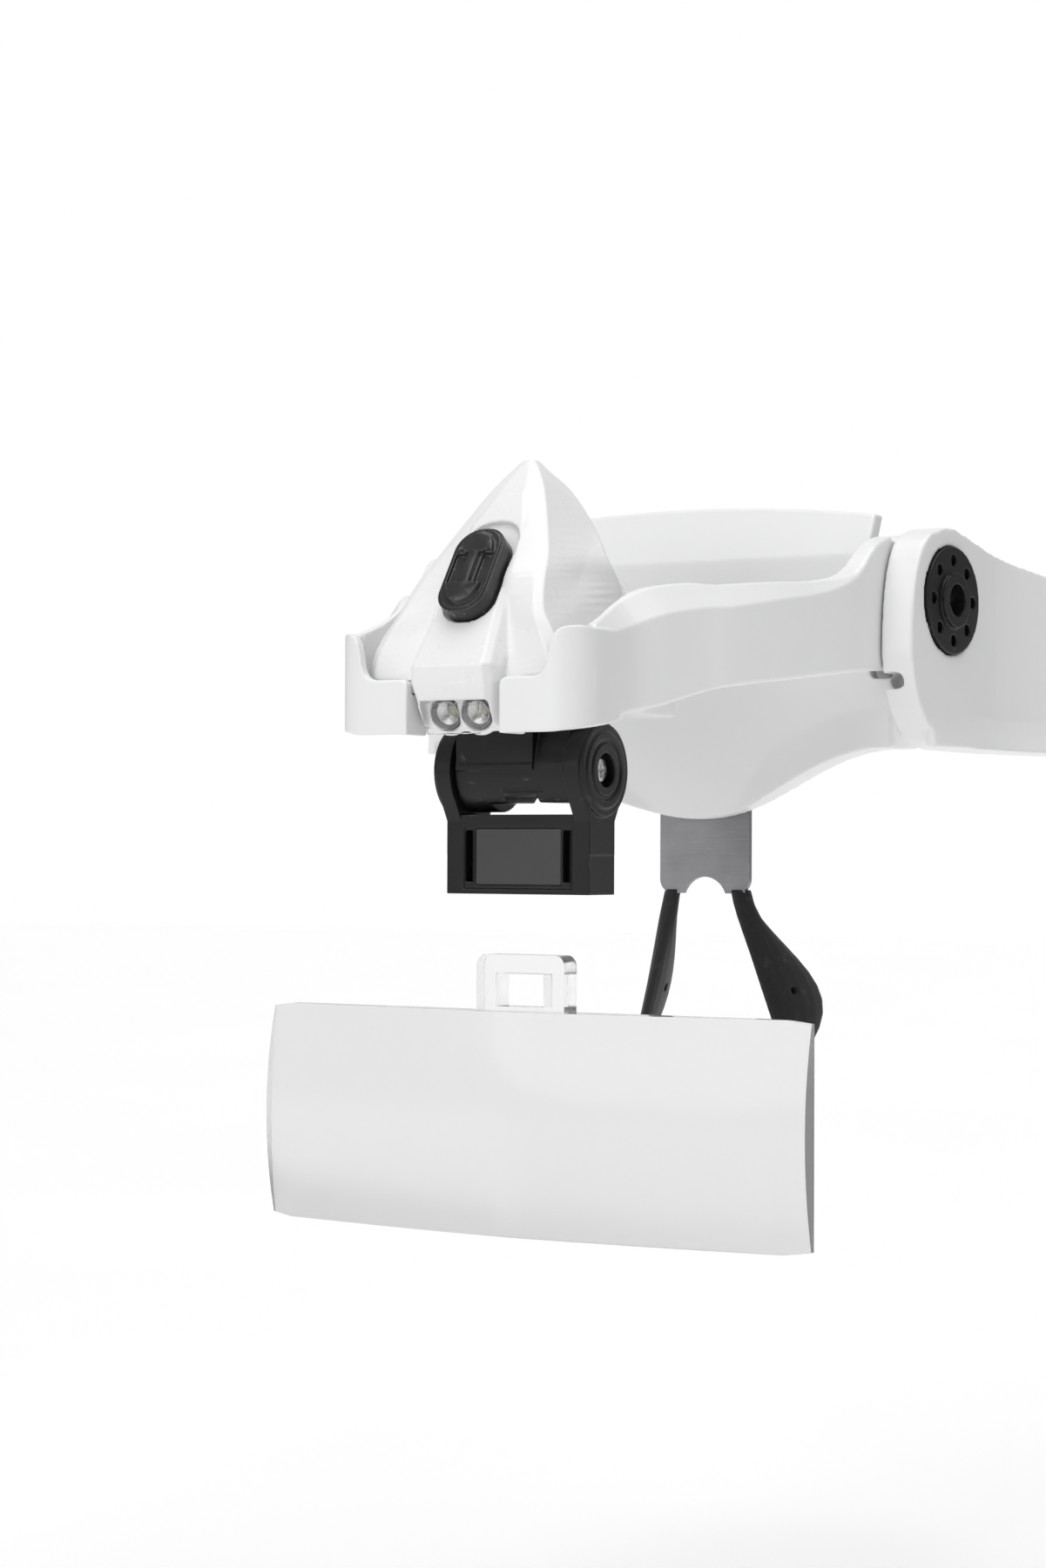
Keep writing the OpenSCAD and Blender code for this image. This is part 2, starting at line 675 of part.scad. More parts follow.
// Two halves meet in a soft ridge: thickness falls towards each end and each edge
function lens_t(x, v) = lens_mid - lens_sag * v * v
    - lens_fall * (pow(abs(x) + lens_offset, 2) - pow(lens_offset, 2))
        / (pow(lens_w / 2 + lens_offset, 2) - pow(lens_offset, 2));

module lens_plate() {
    nx = 24;
    nz = 10;
    color([0.88, 0.9, 0.9, 0.6]) difference() {
        union() {
            loft([for (i = [0:nx]) let (x = -lens_w / 2 + lens_w * i / nx, r = i == 0 || i == nx ? 0.5 : 0)
                concat([[x, lens_back, lens_top - lens_h + r], [x, lens_back, lens_top - r]],
                    [for (j = [0:nz]) let (v = 1 - 2 * j / nz)
                        [x, lens_back - lens_t(x, v) + r * 0.4, lens_top - lens_h / 2 + v * (lens_h / 2 - r)]])]);
            along(tab_y - tab_t / 2, tab_y + tab_t / 2) polygon(concat(
                [[-tab_w / 2, lens_top - 1], [tab_w / 2, lens_top - 1]],
                arc(tab_w / 2 - 1.6, lens_top + tab_h - 1.6, 1.6, 0, 90, 6),
                arc(-tab_w / 2 + 1.6, lens_top + tab_h - 1.6, 1.6, 90, 180, 6)));
        }
        translate([-4.2, tab_y - tab_t, lens_top + 0.7]) cube([8.4, 2 * tab_t, 5]);
    }
}

// ---------- lamp ----------

// Leaning front of the snout
function snout_y(z) = -77.1 + (z - 58) * tan(face_slope);

// Levels: z, face half width and y, prow, then half width and y of the front corner,
// the side crease, the side and the rear
lamp_levels = [
    [seam_z, 15.4, -82.2, 0.1, 17.3, -81, 17.9, -74, 18.2, -66, 15.4, -50],
    [46, 14.4, -82.2, -0.8, 16.2, -81, 17.2, -73.6, 18.1, -64.8, 15.4, -50],
    [49, 13, -81.6, -1.2, 14.6, -80.7, 16, -73.9, 17.6, -63.6, 15.1, -50.1],
    [52, 11.4, -80.7, -1.2, 12.7, -79.9, 14.7, -73.9, 17, -63, 14.6, -50.4],
    [57, 9.8, -77.6, 0.4, 11.1, -77, 13, -70, 15.8, -62.8, 13.2, -56.6],
    [61, 8.4, -74.3, 0.8, 9.7, -73.7, 12.6, -67, 14.3, -63.7, 10.8, -58],
    [66, 6.2, -70.8, 0.9, 7.5, -70.2, 10.1, -62.6, 10.6, -61.2, 8.4, -57.8],
    [71.6, 3.6, -66.9, 0.5, 4.7, -66.4, 5.9, -61.9, 6.3, -60.6, 5, -58.6],
    [lamp_top - 1.5, 1.5, -64.3, 0.2, 2.3, -64, 2.7, -62.6, 2.8, -62, 2.3, -60.8],
    [lamp_top, 0.6, -63.2, 0.1, 1, -63, 1.1, -62.5, 1.2, -62.2, 1, -61.6]];

function lamp_ring(l, w) = let (z = l[0], a = max(0.3, l[1] - w * 0.9), f = l[2] + w * 1.2, s = a * 0.6,
        b = max(0.5, l[4] - w), e = max(0.6, l[6] - w), c = max(0.7, l[8] - w), d = max(0.4, l[10] - w),
        right = [[a, f, z], [b, l[5] + w, z], [e, l[7] + w * 0.4, z], [c, l[9] - w * 0.2, z],
            [d, l[11] - w, z]])
    concat([[-s, f - l[3], z], [s, f - l[3], z]], right, [for (p = flip(right)) [-p[0], p[1], z]]);

// Nose that runs from the switch down to the lights
function snout_ring(z, half, front, back) =
    [[-half + 1, front, z], [half - 1, front, z], [half, front + 1, z], [half + 0.8, front + 3.2, z],
     [half, back, z], [-half, back, z], [-half - 0.8, front + 3.2, z], [-half, front + 1, z]];

module snout() {
    loft([snout_ring(34.4, 5, snout_front + 2.6, -79.4),
          snout_ring(35.4, 6, snout_front + 1.9, -79),
          snout_ring(41.4, 7, snout_front - 0.2, -78),
          snout_ring(43.8, 6.9, snout_front - 0.6, -77),
          snout_ring(45.8, 6.7, snout_y(46.2), -76),
          snout_ring(52, 6, snout_y(52), -72),
          snout_ring(66, 5.4, snout_y(66), -66),
          snout_ring(71.5, 3, snout_y(71) + 0.9, -63.5)]);
}

// Places children on the leaning face, local Z outward and local Y up the slope
module on_face(z) {
    translate([0, snout_y(z), z]) rotate([90 - face_slope, 0, 0]) children();
}

module lamp_housing() {
    color(white) difference() {
        union() {
            loft([for (l = between(lamp_levels, 4)) lamp_ring(l, 0)]);
            snout();
        }
        loft(concat([[for (p = lamp_ring(lamp_levels[0], lamp_wall)) [p[0], p[1], seam_z - 0.5]]],
            [for (i = [0:5]) lamp_ring(lamp_levels[i], lamp_wall)],
            [[for (p = lamp_ring(lamp_levels[6], lamp_wall)) [p[0], p[1], 65]]]));
        light_room();
        // Notches over the pivot pins
        both() translate([13, pivot_y - pivot_r - 0.2, pivot_z]) cube([7, 2 * pivot_r + 0.4, pivot_r + 0.2]);
        // Shallow bed of the switch and its slot
        on_face(knob_z + knob_travel / 2) translate([0, 0, -knob_sunk])
            linear_extrude(6) plate(knob_w + 0.7, knob_l + knob_travel + 0.9, 4.1);
        on_face(knob_z + knob_travel / 2) translate([0, 0, -8])
            linear_extrude(9) plate(3.4, 6.4, 1);
        // Opening for the battery door
        translate([-11.2, -53, 44.4]) cube([22.4, 6, 6.6]);
    }
}

// Pocket for the lights and their window, open at the front and tilted down
module light_room() {
    translate([0, -81.6, led_z]) rotate([light_tilt, 0, 0]) {
        translate([-5.9, -8, -2.3]) cube([11.8, 6, 4.9]);
        translate([-5.9, -4, -led_d / 2 - 0.15]) cube([11.8, 12, led_d + 0.3]);
    }
}

module lamp_base() {
    color(white) difference() {
        union() {
            intersection() {
                across(-20, 20) polygon([[-81.2, 36.3], [floor_step - 1.8, 38.2], [floor_step - 0.6, 39.6],
                    [pivot_y, 39.8], [-56, 40.6], [-50.4, 41], [-50.4, seam_z - 0.05],
                    [-82.3, seam_z - 0.05], [-82.3, 41]]);
                translate([0, 0, 30]) linear_extrude(20)
                    polygon([for (p = lamp_ring(lamp_levels[0], 0)) [p[0], p[1]]]);
            }
            translate([-11, -53.6, seam_z - 1]) cube([22, 1.7, 2.8]);
        }
        // Gap for the snout in front and a shallow seat for the cells
        translate([-9.5, -86, 30]) cube([19, 10.2, 10.1]);
        translate([-8, -86, 40]) cube([16, 10.2, 5]);
        translate([-6, -78, 37.4]) cube([12, 6.5, 10]);
        translate([0, cell_y, 42.4]) cylinder(h = 5, r = cell_d / 2 + 0.3);
        both() {
            bar(14, 19, pivot_y, pivot_z, pivot_r);
            translate([14.2, -77.6, 30]) cylinder(h = 20, r = 0.8);
            translate([14.2, -77.6, 30]) cylinder(h = 7.6, r = 1.8);
        }
    }
}

module lamp_screws() {
    color(steel) both() translate([14.2, -77.6, 37.6]) rotate([180, 0, 0]) screw(1.5, 0.6, 0.78, 5.5);
}

module lamp_pins() {
    color(steel) both() bar(14, 21.2, pivot_y, pivot_z, pivot_r);
}

module lamp_window() {
    color([0.9, 0.93, 0.95, 0.4]) translate([0, -81.6, led_z]) rotate([light_tilt, 0, 0])
        along(-3.5, -2.9) polygon([[-4.6, -2.2], [4.6, -2.2], [5.3, 2.4], [-5.3, 2.4]]);
}

// Round light: dome in front, flat flange behind, two legs
module light(x) {
    color([0.92, 0.93, 0.9, 0.8]) translate([x, -81.6, led_z]) rotate([90 + light_tilt, 0, 0]) union() {
        translate([0, 0, -5]) cylinder(h = 5.2, r = led_d / 2);
        intersection() {
            translate([0, 0, 0.2]) sphere(led_d / 2);
            translate([-5, -5, 0]) cube([10, 10, 2.5]);
        }
        for (s = [-1.27, 1.27]) translate([s, 0, -6.6]) cylinder(h = 1.8, r = 0.25);
    }
}
module light_left() light(-led_pitch / 2);
module light_right() light(led_pitch / 2);

// Board stands just behind the leaning face
module circuit_board() {
    color("darkgreen") difference() {
        on_face(56.5) translate([-7.5, -6.6, -7.2]) cube([15, 16.1, 1]);
        for (s = [-1, 1]) on_face(56.5) translate([s * 5.6, 7.6, -9]) cylinder(h = 4, r = 0.8);
    }
}

module slide_switch() {
    color("dimgray") on_face(knob_z + 1.2) difference() {
        translate([-3.4, -4.8, -6.2]) cube([6.8, 9.6, 2.7]);
        translate([-1.3, -3.4, -5]) cube([2.6, 6.7, 3]);
    }
}

module switch_knob() {
    color(black) on_face(knob_z) difference() {
        union() {
            translate([0, 0, -knob_sunk + 0.25]) linear_extrude(knob_out + knob_sunk - 0.55) plate(knob_w, knob_l, 3.9);
            translate([0, 0, knob_out - 0.35]) linear_extrude(0.35) plate(knob_w - 1, knob_l - 1, 3.4);
            translate([-1.1, -1.6, -4.7]) cube([2.2, 2.6, 5.2]);
        }
        // Raised bar between two hollows that guide the thumb
        for (s = [-1, 1]) translate([s * 2.35, 0, knob_out - 0.45]) linear_extrude(1) plate(2, 6.2, 0.9);
    }
}

module coin_cell(z) {
    color(steel) translate([0, cell_y, z]) difference() {
        union() {
            cylinder(h = cell_t, r = cell_d / 2);
        }
        difference() {
            translate([0, 0, -0.1]) cylinder(h = 0.5, r = cell_d / 2 + 1);
            translate([0, 0, -0.2]) cylinder(h = 0.8, r = cell_d / 2 - 1.6);
        }
    }
}
module coin_cell_lower() coin_cell(cell_z);
module coin_cell_upper() coin_cell(cell_z + cell_t + 0.02);

module cell_contact_lower() {
    color("goldenrod") union() {
        translate([-3, cell_y - 7, cell_z - 0.35]) cube([6, 14, 0.3]);
        translate([-1.5, cell_y - 12.4, cell_z - 0.35]) cube([3, 5.6, 0.3]);
    }
}
module cell_contact_upper() {
    color("goldenrod") union() {
        translate([-3, cell_y - 7, cell_z + 2 * cell_t + 0.1]) cube([6, 12, 0.3]);
        translate([-1.5, cell_y - 9.5, cell_z + 2 * cell_t + 0.1]) cube([3, 3, 0.3]);
    }
}

module battery_door() {
    color(white) difference() {
        union() {
            translate([-11, -52.4, 44.6]) cube([22, 1.6, 6.2]);
            translate([-3, -52.9, 49.4]) cube([6, 0.7, 1.2]);
        }
        translate([0, -49, 46.4]) rotate([90, 0, 0]) cylinder(h = 6, r = 0.85);
        for (s = [-7.5, 7.5]) translate([s - 1.5, -51.3, 46]) cube([3, 1, 3.6]);
    }
}

module door_screw() {
    color(steel) translate([0, -50.8, 46.4]) rotate([-90, 0, 0]) screw(1.4, 0.6, 0.8, 1.5);
}

brow_shell();
hub_disc_left();
hub_disc_right();
hub_screws();
hub_nuts();
hub_washers();
nose_bracket();
bracket_screws();
nose_pad_left();
nose_pad_right();
temple_pins();
temple_left();
temple_right();
temple_sleeve_left();
temple_sleeve_right();
visor_frame();
hinge_block();
block_screws();
holder_screw();
holder_nut();
lens_holder();
lens_latch();
lens_plate();
lamp_housing();
lamp_base();
lamp_screws();
lamp_pins();
lamp_window();
light_left();
light_right();
circuit_board();
slide_switch();
switch_knob();
coin_cell_upper();
coin_cell_lower();
cell_contact_upper();
cell_contact_lower();
battery_door();
door_screw();
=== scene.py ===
import json
import math

import bmesh
import bpy
import numpy as np
from mathutils import Matrix, Vector

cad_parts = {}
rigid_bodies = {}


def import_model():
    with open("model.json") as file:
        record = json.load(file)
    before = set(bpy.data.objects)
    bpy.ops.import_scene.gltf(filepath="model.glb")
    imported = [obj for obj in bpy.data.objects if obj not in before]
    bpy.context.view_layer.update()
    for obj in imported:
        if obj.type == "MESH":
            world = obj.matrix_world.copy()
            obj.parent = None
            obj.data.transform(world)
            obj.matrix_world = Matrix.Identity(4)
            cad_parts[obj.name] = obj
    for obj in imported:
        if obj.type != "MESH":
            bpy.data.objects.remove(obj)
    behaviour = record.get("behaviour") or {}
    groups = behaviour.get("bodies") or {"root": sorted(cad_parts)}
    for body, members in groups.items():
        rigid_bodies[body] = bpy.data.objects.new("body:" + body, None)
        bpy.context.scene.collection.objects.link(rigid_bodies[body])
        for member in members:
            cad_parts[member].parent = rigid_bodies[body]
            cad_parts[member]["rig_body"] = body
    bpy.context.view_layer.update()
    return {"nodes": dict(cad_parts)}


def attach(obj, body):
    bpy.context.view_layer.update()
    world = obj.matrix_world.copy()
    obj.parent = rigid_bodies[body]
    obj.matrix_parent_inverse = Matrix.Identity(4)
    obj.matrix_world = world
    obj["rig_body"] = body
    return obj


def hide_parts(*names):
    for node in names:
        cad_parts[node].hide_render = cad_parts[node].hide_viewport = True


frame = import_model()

nodes = frame["nodes"]
MM = 0.001
WELD = 2e-6  # points closer than this, in metres, are one
PULL_IN, PUSH_OUT = 0.5, -0.51
PLATE_TOP = -0.0076  # height in metres where the lens tab starts


# ---------- meshes ----------

def mesh_of(name, points, faces):
    """A mesh in metres from points in millimetres."""
    mesh = bpy.data.meshes.new(name)
    mesh.from_pydata([tuple(c * MM for c in p) for p in points], [], faces)
    return mesh


def loft(name, rings):
    """A closed mesh through rings of points in millimetres."""
    n, m = len(rings[0]), len(rings)
    faces = [(i * n + j, (i + 1) * n + j, (i + 1) * n + (j + 1) % n, i * n + (j + 1) % n)
             for i in range(m - 1) for j in range(n)]
    faces += [tuple(range(n)), tuple((m - 1) * n + j for j in range(n - 1, -1, -1))]
    mesh = mesh_of(name, [p for r in rings for p in r], faces)
    bm = bmesh.new()
    bm.from_mesh(mesh)
    bmesh.ops.recalc_face_normals(bm, faces=bm.faces)
    bm.to_mesh(mesh)
    bm.free()
    return mesh


def mirrored(mesh):
    """The same mesh on the other side of the face."""
    copy = mesh.copy()
    copy.transform(Matrix.Scale(-1, 4, (1, 0, 0)))
    copy.flip_normals()
    return copy


def put(name, mesh):
    """A new object in the scene."""
    piece = bpy.data.objects.new(name, mesh)
    bpy.context.scene.collection.objects.link(piece)
    return piece


def applied(piece):
    """The piece's mesh with its modifiers applied, and none left on it."""
    graph = bpy.context.evaluated_depsgraph_get()
    mesh = bpy.data.meshes.new_from_object(piece.evaluated_get(graph))
    piece.modifiers.clear()
    piece.data = mesh
    return piece


def relax(mesh, steps):
    """Taubin smoothing: each step pulls in, then pushes back out, so the form keeps its size."""
    n = len(mesh.vertices)
    if not n or not steps:
        return
    co = np.empty(n * 3)
    mesh.vertices.foreach_get("co", co)
    co = co.reshape(-1, 3)
    edges = np.empty(len(mesh.edges) * 2, np.int64)
    mesh.edges.foreach_get("vertices", edges)
    a, b = edges.reshape(-1, 2).T
    degree = np.bincount(edges, minlength=n)[:, None]
    for _ in range(steps):
        for push in (PULL_IN, PUSH_OUT):
            total = np.stack([np.bincount(a, co[b, d], n) + np.bincount(b, co[a, d], n)
                              for d in range(3)], 1)
            co = co + push * (total / degree - co)
    mesh.vertices.foreach_set("co", co.ravel())
    mesh.update()


def refined(name, sources, voxel, steps, keep=0.3, extra=(), shape=None):
    """One moulded piece over CAD nodes: fused, its edges rounded, then thinned out.

    voxel is in millimetres, and keep is the share of the faces left at the end.
    extra meshes are fused in, and shape moves the smoothed points.
    """
    bm = bmesh.new()
    for source in sources:
        part = bmesh.new()
        part.from_mesh(nodes[source].data)
        bmesh.ops.remove_doubles(part, verts=part.verts, dist=WELD)
        joined = bpy.data.meshes.new("joined")
        part.to_mesh(joined)
        bm.from_mesh(joined)
        part.free()
    for mesh in extra:
        bm.from_mesh(mesh)
    mesh = bpy.data.meshes.new(name)
    bm.to_mesh(mesh)
    bm.free()
    piece = put(name, mesh)
    grid = piece.modifiers.new("grid", "REMESH")
    grid.mode = "VOXEL"
    grid.voxel_size = voxel * MM
    applied(piece)
    relax(piece.data, steps)
    if shape:
        co = np.array([v.co for v in piece.data.vertices]) / MM
        piece.data.vertices.foreach_set("co", (shape(co) * MM).ravel())
    if keep < 1:
        thin = piece.modifiers.new("thin", "DECIMATE")
        thin.ratio = keep
        applied(piece)
    piece.data.shade_smooth()
    for attribute in list(piece.data.attributes):
        if not attribute.is_required and not attribute.name.startswith("."):
            piece.data.attributes.remove(attribute)
    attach(piece, nodes[sources[0]]["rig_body"])
    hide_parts(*sources)
    return piece


def soften(name, width, angle=28, segments=3):
    """Rounded edges on a CAD node that keeps its own mesh."""
    node = nodes[name]
    weld = node.modifiers.new("weld", "WELD")
    weld.merge_threshold = WELD
    bevel = node.modifiers.new("bevel", "BEVEL")
    bevel.width = width * MM
    bevel.segments = segments
    bevel.limit_method = "ANGLE"
    bevel.angle_limit = math.radians(angle)
    bevel.use_clamp_overlap = True
    normals = node.modifiers.new("normals", "WEIGHTED_NORMAL")
    normals.keep_sharp = True
    node.data.shade_smooth()


# ---------- materials ----------

# Colour sockets of the Mix node
MIX_A, MIX_B, MIX_RESULT = 6, 7, 2

def shader(name):
    """A material with one Principled shader: the material, its tree and the shader."""
    material = bpy.data.materials.new(name)
    material.use_nodes = True
    tree = material.node_tree
    tree.nodes.clear()
    out = tree.nodes.new("ShaderNodeOutputMaterial")
    body = tree.nodes.new("ShaderNodeBsdfPrincipled")
    tree.links.new(body.outputs[0], out.inputs[0])
    return material, tree, body


def noise(tree, scale, detail=3, rough=0.55, stretch=(1, 1, 1)):
    """Noise in the object's own coordinates; scale is in waves per metre."""
    coords = tree.nodes.new("ShaderNodeTexCoord")
    place = tree.nodes.new("ShaderNodeMapping")
    place.inputs["Scale"].default_value = stretch
    cloud = tree.nodes.new("ShaderNodeTexNoise")
    cloud.inputs["Scale"].default_value = scale
    cloud.inputs["Detail"].default_value = detail
    cloud.inputs["Roughness"].default_value = rough
    tree.links.new(coords.outputs["Object"], place.inputs[0])
    tree.links.new(place.outputs[0], cloud.inputs["Vector"])
    return cloud.outputs["Fac"]


def ramp(tree, value, low, high, a, b):
    """Maps value from low..high to colours or numbers a..b."""
    node = tree.nodes.new("ShaderNodeMapRange")
    node.inputs["From Min"].default_value = low
    node.inputs["From Max"].default_value = high
    node.inputs["To Min"].default_value = a
    node.inputs["To Max"].default_value = b
    tree.links.new(value, node.inputs["Value"])
    return node.outputs["Result"]


def blend_colour(tree, factor, a, b):
    """Mixes two colours; either may be another node's output."""
    node = tree.nodes.new("ShaderNodeMix")
    node.data_type = "RGBA"
    tree.links.new(factor, node.inputs[0])
    for socket, colour in ((MIX_A, a), (MIX_B, b)):
        if isinstance(colour, bpy.types.NodeSocket):
            tree.links.new(colour, node.inputs[socket])
        else:
            node.inputs[socket].default_value = (*colour, 1)
    return node.outputs[MIX_RESULT]


def bump(tree, heights, distance):
    """Stacks height fields into one normal; each is (value, strength)."""
    normal = None
    for value, strength in heights:
        node = tree.nodes.new("ShaderNodeBump")
        node.inputs["Strength"].default_value = strength
        node.inputs["Distance"].default_value = distance
        tree.links.new(value, node.inputs["Height"])
        if normal is not None:
            tree.links.new(normal, node.inputs["Normal"])
        normal = node.outputs[0]
    return normal


def plastic(name, base, shade, edge, rough, grain=5200, strength=0.12, spec=0.5, wear_and_highlight=0.5,
            smear=0.05):
    """Moulded plastic: spark-eroded grain, slow drift in tone, sharp edges a little lighter, partly
    wear and partly a painted highlight.
    """
    material, tree, body = shader(name)
    drift = ramp(tree, noise(tree, 55, 4), 0.35, 0.7, 0, 1)
    tone = blend_colour(tree, drift, base, shade)
    points = tree.nodes.new("ShaderNodeNewGeometry").outputs["Pointiness"]
    # Lighter convex edges from pointiness: partly wear, partly a painted highlight
    rim = ramp(tree, points, 0.52, 0.62, 0, wear_and_highlight)
    tree.links.new(blend_colour(tree, rim, tone, edge), body.inputs["Base Color"])
    tree.links.new(ramp(tree, noise(tree, 240, 4), 0.3, 0.75, rough - smear, rough + smear),
                   body.inputs["Roughness"])
    body.inputs["Specular IOR Level"].default_value = spec
    fine, coarse = noise(tree, grain, 2), noise(tree, 900, 2)
    normal = bump(tree, [(fine, strength), (coarse, strength * 0.4)], 0.00006)
    tree.links.new(normal, body.inputs["Normal"])
    return material


def metal(name, base, shade, rough, stretch, grain=2600, strength=0.25):
    """Brushed or rolled steel: fine lines along one direction."""
    material, tree, body = shader(name)
    lines = noise(tree, grain, 5, 0.6, stretch)
    drift = ramp(tree, noise(tree, 130, 4), 0.3, 0.7, 0, 1)
    tone = blend_colour(tree, drift, base, shade)
    tree.links.new(tone, body.inputs["Base Color"])
    body.inputs["Metallic"].default_value = 1.0
    tree.links.new(ramp(tree, lines, 0.3, 0.7, rough - 0.1, rough + 0.12), body.inputs["Roughness"])
    tree.links.new(bump(tree, [(lines, strength)], 0.00004), body.inputs["Normal"])
    return material


def clear(name, base, rough, ior, transmission, coat=0.0):
    """Clear moulded resin with faint flow ripples and handling haze."""
    material, tree, body = shader(name)
    drift = ramp(tree, noise(tree, 70, 2), 0.3, 0.7, 0, 1)
    tone = blend_colour(tree, drift, base, tuple(c * 0.97 for c in base))
    tree.links.new(tone, body.inputs["Base Color"])
    tree.links.new(ramp(tree, noise(tree, 320, 5), 0.45, 0.8, rough, rough + 0.05),
                   body.inputs["Roughness"])
    body.inputs["IOR"].default_value = ior
    body.inputs["Transmission Weight"].default_value = transmission
    body.inputs["Coat Weight"].default_value = coat
    tree.links.new(bump(tree, [(noise(tree, 60, 1), 0.25)], 0.00008), body.inputs["Normal"])
    return material


def lens_resin(name, milky, plain, top):
    """Acrylic that is milky in the plate and clear in the tab above a height, in metres."""
    material, tree, body = shader(name)
    place = tree.nodes.new("ShaderNodeTexCoord")
    axes = tree.nodes.new("ShaderNodeSeparateXYZ")
    tree.links.new(place.outputs["Object"], axes.inputs[0])
    tab = ramp(tree, axes.outputs[2], top - 0.0004, top + 0.0004, 0, 1)
    half = ramp(tree, axes.outputs[0], -0.0001, 0.0001, 0, 0.5)
    haze = ramp(tree, noise(tree, 40, 2), 0.3, 0.7, 0, 1)
    plate = blend_colour(tree, haze, milky, tuple(c * 0.985 for c in milky))
    plate = blend_colour(tree, half, plate, tuple(c * 0.96 for c in milky))
    tree.links.new(blend_colour(tree, tab, plate, plain), body.inputs["Base Color"])
    tree.links.new(ramp(tree, tab, 0, 1, 0.16, 0.02), body.inputs["Roughness"])
    body.inputs["IOR"].default_value = 1.42
    body.inputs["Transmission Weight"].default_value = 0.94
    tree.links.new(bump(tree, [(noise(tree, 60, 1), 0.25)], 0.00008), body.inputs["Normal"])
    return material


def rubber(name, base):
    """Soft matt moulding with a little dust on it."""
    material, tree, body = shader(name)
    fine = noise(tree, 3800, 3)
    dust = ramp(tree, noise(tree, 420, 5, 0.7), 0.58, 0.8, 0, 0.5)
    tree.links.new(blend_colour(tree, dust, base, (0.075, 0.075, 0.075)), body.inputs["Base Color"])
    tree.links.new(ramp(tree, fine, 0.3, 0.7, 0.52, 0.68), body.inputs["Roughness"])
    body.inputs["Specular IOR Level"].default_value = 0.35
    body.inputs["Sheen Weight"].default_value = 0.12
    tree.links.new(bump(tree, [(fine, 0.3)], 0.00005), body.inputs["Normal"])
    return material


WHITE = plastic("white_plastic", (0.82, 0.822, 0.825), (0.8, 0.803, 0.807),
                (0.88, 0.88, 0.88), 0.38)
WHITE_LAMP = plastic("white_plastic_lamp", (0.83, 0.832, 0.835), (0.81, 0.812, 0.816),
                     (0.88, 0.88, 0.88), 0.3, grain=6500, strength=0.07)
# The black parts' lighter edges are partly wear and partly a painted highlight, strongest on the
# knob
BLACK = plastic("black_plastic", (0.006, 0.006, 0.0065), (0.009, 0.009, 0.0095),
                (0.05, 0.05, 0.052), 0.36, grain=4200, strength=0.25, spec=0.3, wear_and_highlight=0.75,
                smear=0.07)
BLACK_PANEL = plastic("black_plastic_panel", (0.03, 0.03, 0.031), (0.038, 0.038, 0.039),
                      (0.09, 0.09, 0.09), 0.42, grain=3600, strength=0.35, spec=0.4, wear_and_highlight=0.8)
BLACK_KNOB = plastic("black_plastic_knob", (0.016, 0.016, 0.017), (0.022, 0.022, 0.023),
                     (0.14, 0.14, 0.14), 0.33, grain=3800, strength=0.3, spec=0.45, wear_and_highlight=0.9)
RUBBER = rubber("black_rubber", (0.009, 0.009, 0.0095))
BRUSHED = metal("brushed_sheet", (0.3, 0.3, 0.31), (0.25, 0.25, 0.26), 0.36, (0.06, 1, 1))
PLATED = metal("plated_steel", (0.62, 0.62, 0.63), (0.52, 0.52, 0.54), 0.26, (1, 1, 1),
               1500, 0.12)
BRASS = metal("spring_brass", (0.78, 0.58, 0.26), (0.7, 0.5, 0.2), 0.28, (1, 0.1, 1),
              1800, 0.15)
ACRYLIC = lens_resin("acrylic", (0.84, 0.84, 0.84), (0.93, 0.932, 0.935), PLATE_TOP)
RESIN = clear("led_resin", (0.95, 0.95, 0.93), 0.04, 1.5, 0.85)
WINDOW = clear("lamp_window", (0.99, 0.99, 0.99), 0.0, 1.03, 1.0)
PHOSPHOR = rubber("phosphor", (0.55, 0.53, 0.42))
BOARD = plastic("board_mask", (0.02, 0.13, 0.05), (0.025, 0.17, 0.07), (0.3, 0.25, 0.1), 0.3,
                grain=2500)


def paint(piece, material):
    """Gives a piece its one material."""
    piece.data.materials.clear()
    piece.data.materials.append(material)
    return piece


# ---------- head frame ----------

# Millimetres, as in the CAD: the hub's place, and its small turn outwards
HUB_X, HUB_Y, HUB_TURN = 47.5, -11, 5
SIDE_END = 44
BROW_END = 39
LIP_IN, LIP_OUT, LIP_HIGH = 7, 39.7, 6.4
SIDE_START, SIDE_LENGTH = -17.3, 59.5
STEPS = 40

def brow_curve():
    """Front of the brow in Y and Z, as a curve from its upright band to its lower edge."""
    a, b, c = (-20.9, 52.0), (-20.9, 40.0), (-5.4, 20.0)
    out = []
    for i in range(STEPS + 1):
        t = i / STEPS
        out.append(tuple((1 - t) ** 2 * a[k] + 2 * t * (1 - t) * b[k] + t * t * c[k]
                         for k in (0, 1)))
    return sorted((z, y) for y, z in out)


BROW = brow_curve()


def brow_y(z):
    """Front of the brow at a height."""
    return float(np.interp(z, [p[0] for p in BROW], [p[1] for p in BROW]))


def lobe_z(x):
    """Lower edge of the brow."""
    t = min(abs(x), BROW_END) / BROW_END
    return 22.3 + 11.1 * (1 - math.cos(math.pi * t)) / 2


def side_x(y):
    """Outer face of a side frame."""
    tilt = math.tan(math.radians(HUB_TURN))
    if y < 0:
        return HUB_X + tilt * (y - HUB_Y)
    return HUB_X - tilt * HUB_Y + 19 * (1 - math.cos(math.pi * y / SIDE_END)) / 2


def side_low(y):
    """Lower edge of a side frame."""
    return float(np.interp(y, [-8, 20, 44], [33.4, 33.0, 36.5]))


